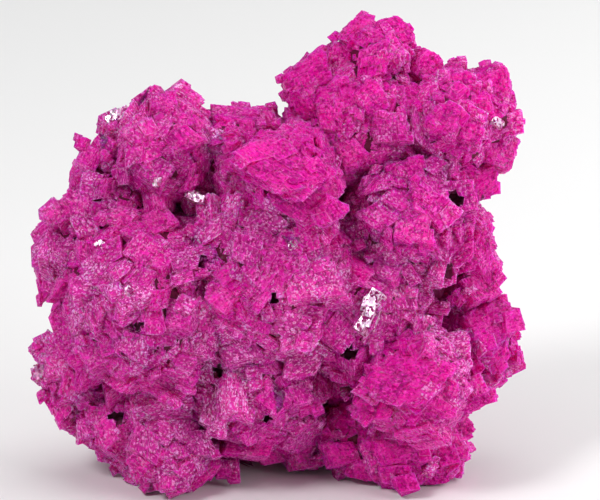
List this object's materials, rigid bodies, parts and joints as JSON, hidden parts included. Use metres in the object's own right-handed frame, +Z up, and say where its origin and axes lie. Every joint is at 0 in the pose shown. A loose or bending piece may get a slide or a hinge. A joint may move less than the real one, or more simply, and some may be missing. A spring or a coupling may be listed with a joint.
{
  "type": "cobaltoan dolomite specimen",
  "caption": "Hand specimen of cobaltoan dolomite: hot pink rhombs grown together in a knobbly upright cluster with a taller tower at one side, a saddle beside it and a broken back it stands on.",
  "frame": {"origin": "middle of the bounding box at the level the specimen stands on", "axes": "+X to the viewer's right, along the specimen's width; +Y back, away from the viewer; +Z up"},
  "size_m": [0.0624, 0.034, 0.0582],
  "materials": {
    "pink_dolomite": "hot pink to magenta translucent dolomite with bright, finely stepped cleavage faces"
  },
  "bodies": {
    "root": {"dolomite_cluster": "pink_dolomite"}
  },
  "joints": []
}
